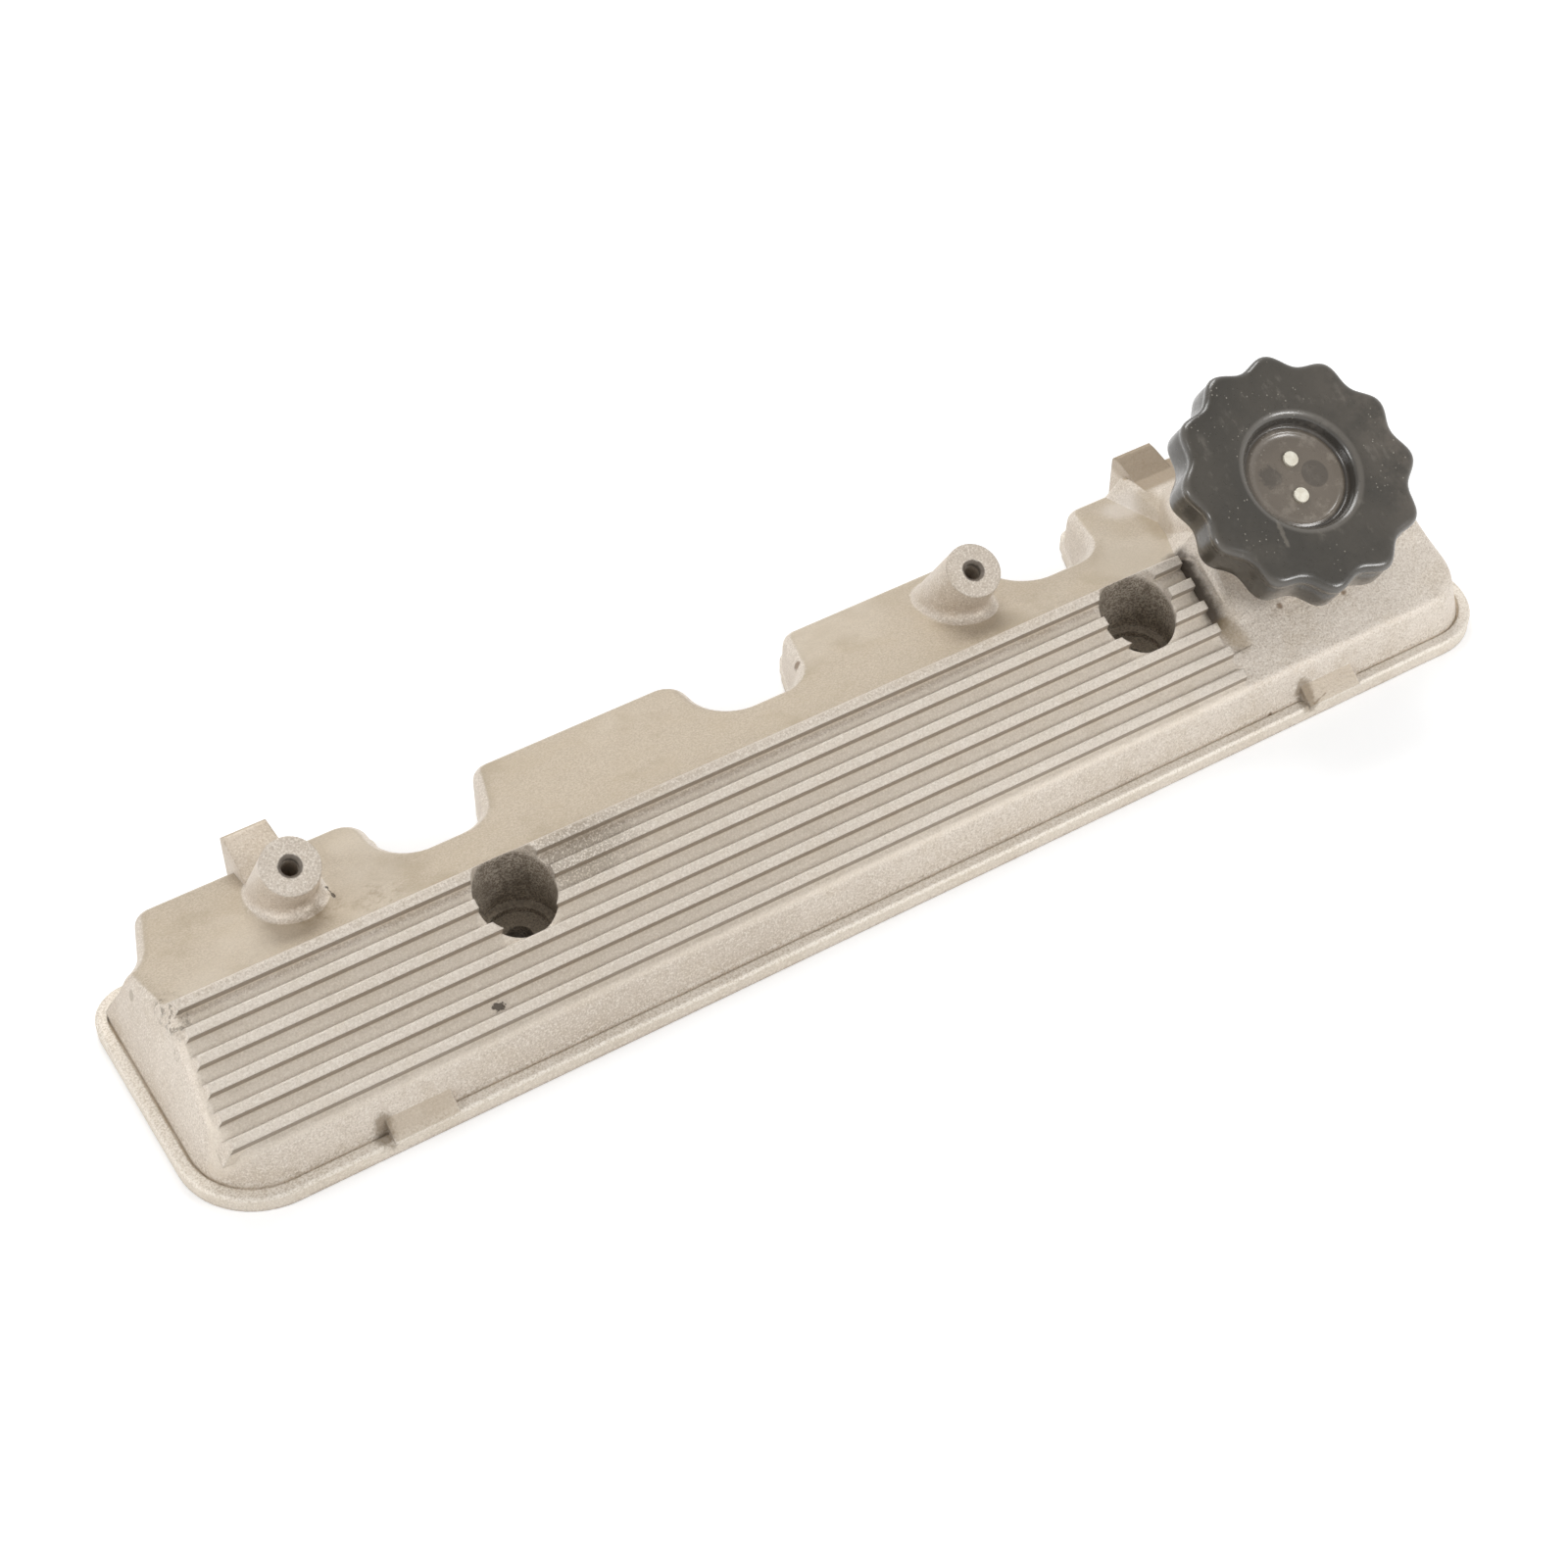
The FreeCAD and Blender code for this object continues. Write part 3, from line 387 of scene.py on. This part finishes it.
def bolt_wells(g, colour):
    """Grainy, sooty wells darkened further by painted shade, with paler seats."""
    inside = []
    for bolt in BOLTS:
        offset = g.vector("MULTIPLY", g.vector("SUBTRACT", g.position, bolt), (1, 1, 0))
        from_bolt = g.vector("LENGTH", offset, output=1)
        inside.append(g.ramp(from_bolt, WELL_RADIUS + 0.4 * MM, WELL_RADIUS + 0.1 * MM))
    wells = g.both(g.either(*inside), g.ramp(g.above_front, -0.2 * MM, -2.5 * MM))
    # The wells' dark colour is sooty, with painted shade of their depth laid in.
    soot_and_shade = g.mix(g.ramp(g.grain, 0.4, 0.6), linear(116, 105, 93), linear(182, 171, 156))
    soot_and_shade = g.tint(soot_and_shade, g.ramp(g.patch, 0.46, 0.66), 0.5, linear(92, 80, 67))
    colour = g.tint(colour, wells, 0.9, soot_and_shade)
    seats = g.both(wells, g.ramp(g.face_z, 0.8, 0.95), g.ramp(g.speck, 0.66, 0.5))
    return g.tint(colour, seats, 0.45, linear(196, 184, 166))


def pads_and_bosses(g, colour):
    """Rear and front pads, painted shade on the filler housing's flank, its shelf, and a ring of painted
    shade around the tapped holes.
    """
    behind = g.both(g.ramp(g.z, 22 * MM, 25 * MM), g.ramp(g.y, 45 * MM, 48 * MM))
    right_pad = g.both(behind, g.span_mm(g.x, *RIGHT_REAR_PAD))
    colour = g.tint(colour, right_pad, 0.8, linear(156, 137, 112))
    left_pad = g.both(behind, g.span_mm(g.x, *LEFT_REAR_PAD))
    colour = g.tint(colour, left_pad, 0.3, linear(180, 160, 132))
    # Painted shade: the filler housing's left flank is darkened along a stroke.
    flank = g.stroke(*SHADED_FLANK, 2.5 * MM, 4 * MM, ragged=4 * MM)
    colour = g.tint(colour, flank, 0.5, linear(160, 142, 114))
    shelf = g.near(WORN_SHELF, 3 * MM, 6 * MM, ragged=4 * MM)
    colour = g.tint(colour, shelf, 0.5, linear(220, 212, 203))
    front_pads = [g.span_mm(g.x, *pad) for pad in FRONT_PADS]
    pad_tops = g.both(g.span(g.face_z, 0.74, 0.88, 0.04, 0.04), g.ramp(g.z, 13 * MM, 11 * MM),
                      g.either(*front_pads))
    colour = g.tint(colour, pad_tops, 0.6, linear(187, 171, 149))
    stains = [g.stroke(*place, 1.2 * MM, 2.5 * MM, ragged=5 * MM) for place in PAD_STAINS]
    colour = g.tint(colour, g.either(*stains), 0.65, linear(120, 101, 75))
    # Painted shade: a dark ring around each tapped hole, as the shade of a wider mouth.
    for face in BOSS_FACES:
        rim = g.near(face, 3.2 * MM, 0.5 * MM, ragged=0.8 * MM)
        colour = g.tint(colour, rim, 0.8, linear(74, 64, 54))
    return colour


def single_marks(g, colour):
    """Rust, a nick, cracks, a dimple and smears. Gives the colour, and a mask of what is sunk."""
    brown = linear(112, 84, 52)
    rust = [g.near(place, reach * MM, soft * MM, ragged=ragged * MM)
            for place, reach, soft, ragged in RUST_SPOTS]
    colour = g.tint(colour, g.either(*rust), 0.75, brown)
    fine_crack = g.stroke(*FINE_CRACK, 0.05 * MM, 0.3 * MM, ragged=1 * MM)
    colour = g.tint(colour, fine_crack, 0.5, brown)
    dimple = g.near(DIMPLE, 1.1 * MM, 0.6 * MM, stretch=(1, 1, 0.7), ragged=0.8 * MM)
    colour = g.tint(colour, dimple, 0.5, linear(142, 128, 108))
    nick = g.near(NICK, 0.9 * MM, 0.4 * MM, stretch=(0.8, 1, 1), ragged=5 * MM)
    crack = g.stroke(*CRACK, 0.1 * MM, 0.3 * MM, ragged=1.8 * MM)
    deep = g.either(nick, crack)
    colour = g.tint(colour, deep, 0.85, linear(60, 50, 38))
    damage = g.either(g.near(ROUGH_RIB_END, 3.5 * MM, 2.5 * MM, stretch=(1, 0.55, 1), ragged=5 * MM),
                      g.near(ROUGH_CORNER, 0.8 * MM, 1.2 * MM, ragged=1.5 * MM))
    pits = g.both(damage, g.ramp(g.noise(420, 4, 0.7), 0.52, 0.62))
    colour = g.tint(colour, pits, 0.6, linear(104, 92, 76))
    smear = g.near(SMEAR, 4 * MM, 11 * MM, stretch=(0.6, 1.3, 0.5), ragged=9 * MM)
    smear = g.both(smear, g.ramp(g.grain, 0.65, 0.45))
    colour = g.tint(colour, smear, 0.45, linear(128, 115, 98))
    drifts = [g.near(place, 4 * MM, 6 * MM, ragged=7 * MM) for place in DRIFTS]
    drifted = g.both(g.either(*drifts), g.ramp(g.patch, 0.42, 0.6))
    colour = g.tint(colour, drifted, 0.4, linear(132, 112, 82))
    return colour, g.either(g.both(damage, g.noise(500, 4, 0.7)), deep)


def cast_aluminium():
    """Sand cast aluminium, blasted clean, with old dirt left in its corners and painted light and shade in
    places.
    """
    g = CastingGraph()
    colour = bare_metal(g)
    for layer in (rear_slope, ribs, corner_dirt_and_painted_light, bolt_wells, pads_and_bosses):
        colour = layer(g, colour)
    colour, sunk = single_marks(g, colour)
    roughness = g.ramp(g.grain, 0.3, 0.7, 0.44, 0.62)
    sand = g.bump(g.noise(1000, 3, 0.65), 0.55, 0.35 * MM, below=g.soft_edges(0.9 * MM))
    waves = g.bump(g.noise(150, 3, 0.5), 0.3, 0.9 * MM, below=sand)
    relief = g.bump(g.math("SUBTRACT", 1.0, sunk), 0.8, 0.9 * MM, below=waves)
    return g.finish(colour, roughness, relief, Metallic=0.3, Specular_IOR_Level=0.5)


def knob_plastic():
    """Scuffed black plastic: greyed on top, dusty towards the outer right, with specks and scratches;
    painted shade on the recess wall, painted highlights on the recess lip and, with wear, on the sharp
    edges.
    """
    g = Graph("knob_plastic")
    x = g.split(g.position)[0]
    from_top = g.vector("SUBTRACT", g.position, KNOB_TOP)
    level = g.dot(from_top, CAP_AXIS)
    from_axis = g.vector("LENGTH", from_top, output=1)
    broad = g.noise(38, 4, 0.6)
    colour = g.mix(g.ramp(broad, 0.35, 0.65), linear(58, 54, 47), linear(70, 65, 57))
    dusty = g.both(g.ramp(x, 0.170, 0.196), g.ramp(g.noise(90, 4, 0.7), 0.35, 0.65))
    colour = g.tint(colour, dusty, 0.5, linear(112, 103, 93))
    in_recess = g.both(g.ramp(level, -3.2 * MM, -4.6 * MM), g.ramp(from_axis, 18.5 * MM, 17.5 * MM))
    colour = g.tint(colour, in_recess, 0.85, linear(117, 107, 95))
    floor_dust = g.both(in_recess, g.ramp(g.noise(190, 5, 0.75), 0.5, 0.64))
    colour = g.tint(colour, floor_dust, 0.35, linear(158, 149, 136))
    stains = g.either(g.near(DISC, 4.1 * MM, 0.5 * MM), g.near(STAIN, 2.6 * MM, 1.6 * MM, ragged=5 * MM))
    colour = g.tint(colour, stains, 0.6, linear(70, 64, 57))
    scratch = g.stroke(*SCRATCH, 0.1 * MM, 0.9 * MM, ragged=2.5 * MM)
    colour = g.tint(colour, scratch, 0.3, linear(150, 142, 130))
    # Painted shade: the recess wall is darkened.
    wall = g.both(g.span_mm(from_axis, 16.2, 18.6, 0.7, 0.8), g.ramp(level, -0.9 * MM, -2 * MM))
    colour = g.tint(colour, wall, 0.7, linear(40, 37, 34))
    # Painted highlight: the lip of the recess is lightened all round.
    lip = g.both(g.span_mm(from_axis, 17.6, 20.4, 1, 1), g.ramp(level, -1.0 * MM, -0.4 * MM))
    colour = g.tint(colour, lip, 0.3, linear(132, 126, 118))
    pointed = g.tree.nodes.new("ShaderNodeNewGeometry").outputs["Pointiness"]
    # Painted highlight, with wear: the sharp edges are lightened.
    edge = g.both(g.ramp(pointed, 0.515, 0.56), g.ramp(level, -3.2 * MM, -1.2 * MM))
    colour = g.tint(colour, edge, 0.45, linear(140, 134, 126))
    scuff = g.ramp(g.noise(240, 4, 0.65, stretch=(1, 0.35, 1)), 0.56, 0.7)
    colour = g.tint(colour, g.both(scuff, g.ramp(broad, 0.4, 0.6)), 0.3, linear(128, 122, 113))
    dust = g.both(g.ramp(g.cells(560), 0.17, 0.08), g.ramp(g.noise(60, 2), 0.5, 0.62))
    colour = g.tint(colour, dust, 0.6, linear(172, 166, 154))
    roughness = g.ramp(g.noise(700, 3, 0.6), 0.3, 0.7, 0.27, 0.4)
    relief = g.bump(g.noise(420, 3, 0.6), 0.14, 0.4 * MM)
    return g.finish(colour, roughness, relief, Specular_IOR_Level=0.5, Coat_Weight=0.7, Coat_Roughness=0.16)


def rivet_metal():
    """Pale, worn rivet heads."""
    g = Graph("rivet_metal")
    colour = g.mix(g.ramp(g.noise(500, 3), 0.35, 0.65), linear(240, 235, 220), linear(222, 215, 198))
    roughness = g.ramp(g.noise(900, 2), 0.3, 0.7, 0.4, 0.6)
    relief = g.bump(g.noise(1200, 2), 0.2, 0.2 * MM, below=g.soft_edges(0.5 * MM))
    return g.finish(colour, roughness, relief, Metallic=0.25)


def pressed_steel():
    """Stamped steel of the bayonet plate."""
    g = Graph("pressed_steel")
    colour = g.mix(g.ramp(g.noise(200, 4), 0.35, 0.65), linear(150, 147, 140), linear(112, 106, 98))
    roughness = g.ramp(g.noise(600, 3), 0.3, 0.7, 0.35, 0.55)
    relief = g.bump(g.noise(900, 2), 0.15, 0.2 * MM, below=g.soft_edges(0.3 * MM))
    return g.finish(colour, roughness, relief, Metallic=0.9)


def seal_rubber():
    """Dull black rubber of the seal."""
    g = Graph("seal_rubber")
    colour = g.mix(g.ramp(g.noise(250, 3), 0.35, 0.65), linear(30, 30, 30), linear(44, 43, 42))
    roughness = g.ramp(g.noise(600, 3), 0.3, 0.7, 0.7, 0.85)
    relief = g.bump(g.noise(900, 2), 0.2, 0.2 * MM, below=g.soft_edges(0.3 * MM))
    return g.finish(colour, roughness, relief)


# The knob as a turned and lobed mesh, in millimetres about its own axis, its top at zero
LOBES = 12
LOBE_TURN = math.radians(16)
STEPS_PER_LOBE = 24
LOBE_MEAN = 37.32
LOBE_SWELL = 1.68
LOBE_SHARPEN = 0.04
SHARP_FROM = math.radians(50)


def lobe_radius(angle, share):
    """Radius of the lobed outline, its lobes fading to a circle as the share goes to zero."""
    phase = LOBES * (angle - LOBE_TURN)
    return LOBE_MEAN + share * (LOBE_SWELL * math.cos(phase) + LOBE_SHARPEN * math.cos(2 * phase))


# Rings from the bottom rim up the side, over the top edge: how far in, how deep, and share of the lobes
LOBED_RINGS = ((2.0, 13.4, 1.0), (1.3, 13.3, 1.0), (0.85, 12.9, 1.0), (0.7, 12.2, 1.0), (0.7, 10.0, 1.0),
               (0.75, 8.0, 1.0), (0.9, 6.2, 1.0), (1.1, 5.0, 1.0), (1.25, 4.3, 1.0), (1.05, 3.7, 1.0),
               (0.8, 3.1, 1.0), (0.7, 2.4, 1.0), (0.8, 1.7, 1.0), (1.1, 1.0, 1.0), (1.65, 0.45, 1.0),
               (2.4, 0.12, 1.0), (3.4, 0.0, 0.97), (5.5, 0.0, 0.85), (7.5, 0.0, 0.6))
# Rings of the top, the recess and its floor, then of the underside: radius and depth
TOP_RINGS = ((26.5, 0.0), (23.0, 0.0), (20.2, 0.02), (19.2, 0.18), (18.4, 0.6), (17.8, 1.25), (17.4, 2.0),
             (17.15, 2.9), (16.9, 3.8), (16.6, 4.5), (16.2, 4.8), (15.75, 4.75), (15.3, 4.4), (14.8, 4.3),
             (14.3, 4.55), (13.8, 4.98), (12.5, 5.0), (9.0, 5.0), (5.0, 5.0), (1.5, 5.0))
UNDER_RINGS = ((31.3, 13.4), (30.8, 13.0), (30.8, 8.0), (30.8, 3.4), (30.4, 3.0), (24.6, 3.0), (24.2, 3.4),
               (24.2, 7.6), (23.8, 8.0), (13.0, 8.0), (12.0, 8.8), (12.0, 15.0), (11.5, 15.5), (6.0, 15.5),
               (1.5, 15.5))


def link(name, data):
    """A new object in the scene with this data."""
    item = bpy.data.objects.new(name, data)
    bpy.context.scene.collection.objects.link(item)
    return item


def cap_mesh(name, points, faces):
    """A mesh from points in millimetres about the cap's axis, the knob's top at zero."""
    mesh = bpy.data.meshes.new(name)
    mesh.from_pydata(points, [], faces)
    mesh.transform(Matrix.Translation(KNOB_TOP) @ Matrix.Rotation(CAP_TILT, 4, "X") @ Matrix.Scale(MM, 4))
    mesh.shade_smooth()
    mesh.set_sharp_from_angle(angle=SHARP_FROM)
    return mesh


def knob_mesh():
    """The knob as rings joined by quads, closed by a fan at either end."""
    steps = LOBES * STEPS_PER_LOBE
    angles = [2 * math.pi * i / steps for i in range(steps)]
    rings = []
    for inset, depth, share in LOBED_RINGS:
        radii = [lobe_radius(a, share) - inset for a in angles]
        rings.append([(r * math.cos(a), r * math.sin(a), -depth) for r, a in zip(radii, angles)])
    under = []
    for target, source in ((rings, TOP_RINGS), (under, UNDER_RINGS)):
        for radius, depth in source:
            target.append([(radius * math.cos(a), radius * math.sin(a), -depth) for a in angles])
    rings = under[::-1] + rings
    points = [point for ring in rings for point in ring]
    faces = []
    for k in range(len(rings) - 1):
        for i in range(steps):
            j = (i + 1) % steps
            faces.append((k * steps + i, k * steps + j, (k + 1) * steps + j, (k + 1) * steps + i))
    low_centre = len(points)
    points.append((0, 0, -UNDER_RINGS[-1][1]))
    top_centre = len(points)
    points.append((0, 0, -TOP_RINGS[-1][1]))
    last = (len(rings) - 1) * steps
    for i in range(steps):
        j = (i + 1) % steps
        faces.append((low_centre, j, i))
        faces.append((top_centre, last + i, last + j))
    return cap_mesh("knob", points, faces)


def add_knob():
    """The knob's own mesh in place of the CAD node."""
    knob = link("knob_body", knob_mesh())
    knob.data.materials.append(knob_plastic())
    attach(knob, "cap")
    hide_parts("cap_knob")


# The neck's foot: degrees about the cap's axis, then how far down outside and inside, in millimetres
NECK_FOOT = ((12, 0.5, 0.5), (30, 2.2, 3.6), (45, 6.8, 3.3), (60, 9.9, 5.6), (75, 11.9, 7.1),
             (90, 12.5, 7.6), (105, 11.9, 7.1), (120, 9.9, 5.6), (135, 6.8, 3.3), (150, 5.1, 4.4),
             (165, 4.8, 3.5), (180, 0.5, 0.5))
NECK_END = 45.0
NECK_OVERLAP = 0.2
NECK_OUTSIDE = 25.97
NECK_INSIDE = 19.9
STEPS_PER_SPAN = 4


def add_neck_foot(material):
    """A wall that carries the neck down to the roof behind it: four-cornered sections joined by quads."""
    stations = []
    for here, after in zip(NECK_FOOT, NECK_FOOT[1:]):
        for i in range(STEPS_PER_SPAN):
            share = i / STEPS_PER_SPAN
            stations.append([a + share * (b - a) for a, b in zip(here, after)])
    stations.append(NECK_FOOT[-1])
    start = NECK_END - NECK_OVERLAP
    points = []
    for turn, outer, inner in stations:
        along = math.cos(math.radians(turn))
        across = math.sin(math.radians(turn))
        for radius, depth in ((NECK_OUTSIDE, start), (NECK_INSIDE, start),
                              (NECK_INSIDE, NECK_END + inner), (NECK_OUTSIDE, NECK_END + outer)):
            points.append((radius * along, radius * across, -depth))
    faces = [(3, 2, 1, 0)]
    for k in range(len(stations) - 1):
        for i in range(4):
            j = (i + 1) % 4
            faces.append((4 * k + i, 4 * k + j, 4 * k + 4 + j, 4 * k + 4 + i))
    last = 4 * (len(stations) - 1)
    faces.append((last, last + 1, last + 2, last + 3))
    foot = link("neck_foot", cap_mesh("neck_foot", points, faces))
    foot.data.materials.append(material)
    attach(foot, "cover")


def add_floor():
    """A pale floor that also glows a little where the camera or a reflection sees it."""
    far = FLOOR_REACH
    mesh = bpy.data.meshes.new("floor")
    mesh.from_pydata([(-far, -far, 0), (far, -far, 0), (far, far, 0), (-far, far, 0)], [], [(0, 1, 2, 3)])
    floor = link("floor", mesh)
    floor.location.z = -FLOOR_DROP
    g = Graph("studio_floor")
    g.set(Roughness=1.0, Specular_IOR_Level=0.0, Base_Color=(FLOOR_TONE, FLOOR_TONE, FLOOR_TONE, 1))
    path = g.tree.nodes.new("ShaderNodeLightPath")
    glow = g.tree.nodes.new("ShaderNodeEmission")
    seen = g.math("MAXIMUM", path.outputs["Is Camera Ray"], path.outputs["Is Glossy Ray"])
    g.put(glow.inputs["Strength"], g.math("MULTIPLY", seen, FLOOR_GLOW))
    added = g.tree.nodes.new("ShaderNodeAddShader")
    g.put(added.inputs[0], g.shader.outputs[0])
    g.put(added.inputs[1], glow.outputs[0])
    g.put(g.output.inputs[0], added.outputs[0])
    mesh.materials.append(g.material)


def add_world():
    """A white tent that lights the part, brighter at the horizon, and a plain backdrop for the camera."""
    world = bpy.data.worlds.new("studio")
    bpy.context.scene.world = world
    world.use_nodes = True
    tree = world.node_tree
    tree.nodes.clear()
    output = tree.nodes.new("ShaderNodeOutputWorld")
    choose = tree.nodes.new("ShaderNodeMixShader")
    path = tree.nodes.new("ShaderNodeLightPath")
    tree.links.new(path.outputs["Is Camera Ray"], choose.inputs[0])
    tent = tree.nodes.new("ShaderNodeBackground")
    plain = tree.nodes.new("ShaderNodeBackground")
    for socket, sky in ((1, tent), (2, plain)):
        sky.inputs["Color"].default_value = (1, 1, 1, 1)
        tree.links.new(sky.outputs[0], choose.inputs[socket])
    direction = tree.nodes.new("ShaderNodeTexCoord").outputs["Generated"]
    split = tree.nodes.new("ShaderNodeSeparateXYZ")
    tree.links.new(direction, split.inputs[0])
    fade = tree.nodes.new("ShaderNodeMapRange")
    for name, level in (("From Min", HORIZON_LEVEL), ("From Max", ZENITH_LEVEL),
                        ("To Min", HORIZON_STRENGTH), ("To Max", ZENITH_STRENGTH)):
        fade.inputs[name].default_value = level
    tree.links.new(split.outputs[2], fade.inputs["Value"])
    tree.links.new(fade.outputs[0], tent.inputs["Strength"])
    tree.links.new(choose.outputs[0], output.inputs[0])


def softbox(name, place, aim, width, height, power):
    """A rectangular lamp that points at its aim."""
    lamp = bpy.data.lights.new(name, "AREA")
    lamp.shape = "RECTANGLE"
    lamp.size = width
    lamp.size_y = height
    lamp.energy = power
    item = link(name, lamp)
    item.location = place
    item.rotation_euler = (Vector(aim) - Vector(place)).to_track_quat("-Z", "Y").to_euler()


def add_camera():
    """The camera, solved from the photograph."""
    data = bpy.data.cameras.new("camera")
    data.sensor_width = SENSOR_WIDTH
    data.lens = FOCAL_LENGTH
    data.clip_start = 0.01
    camera = link("camera", data)
    right = Vector(CAMERA_RIGHT).normalized()
    back = Vector(CAMERA_BACK).normalized()
    up = back.cross(right)
    rows = [(right[i], up[i], back[i], CAMERA_PLACE[i]) for i in range(3)]
    camera.matrix_world = Matrix(rows + [(0, 0, 0, 1)])
    bpy.context.scene.camera = camera


casting = cast_aluminium()
dress("cover_casting", casting)
add_neck_foot(casting)
add_knob()
metal = rivet_metal()
dress("cap_rivet_1", metal)
dress("cap_rivet_2", metal)
dress("cap_bayonet_plate", pressed_steel())
dress("cap_seal", seal_rubber())
add_floor()
add_world()
for lamp_sizes in LAMPS:
    softbox(*lamp_sizes)
add_camera()
bpy.context.scene.view_settings.view_transform = "Standard"
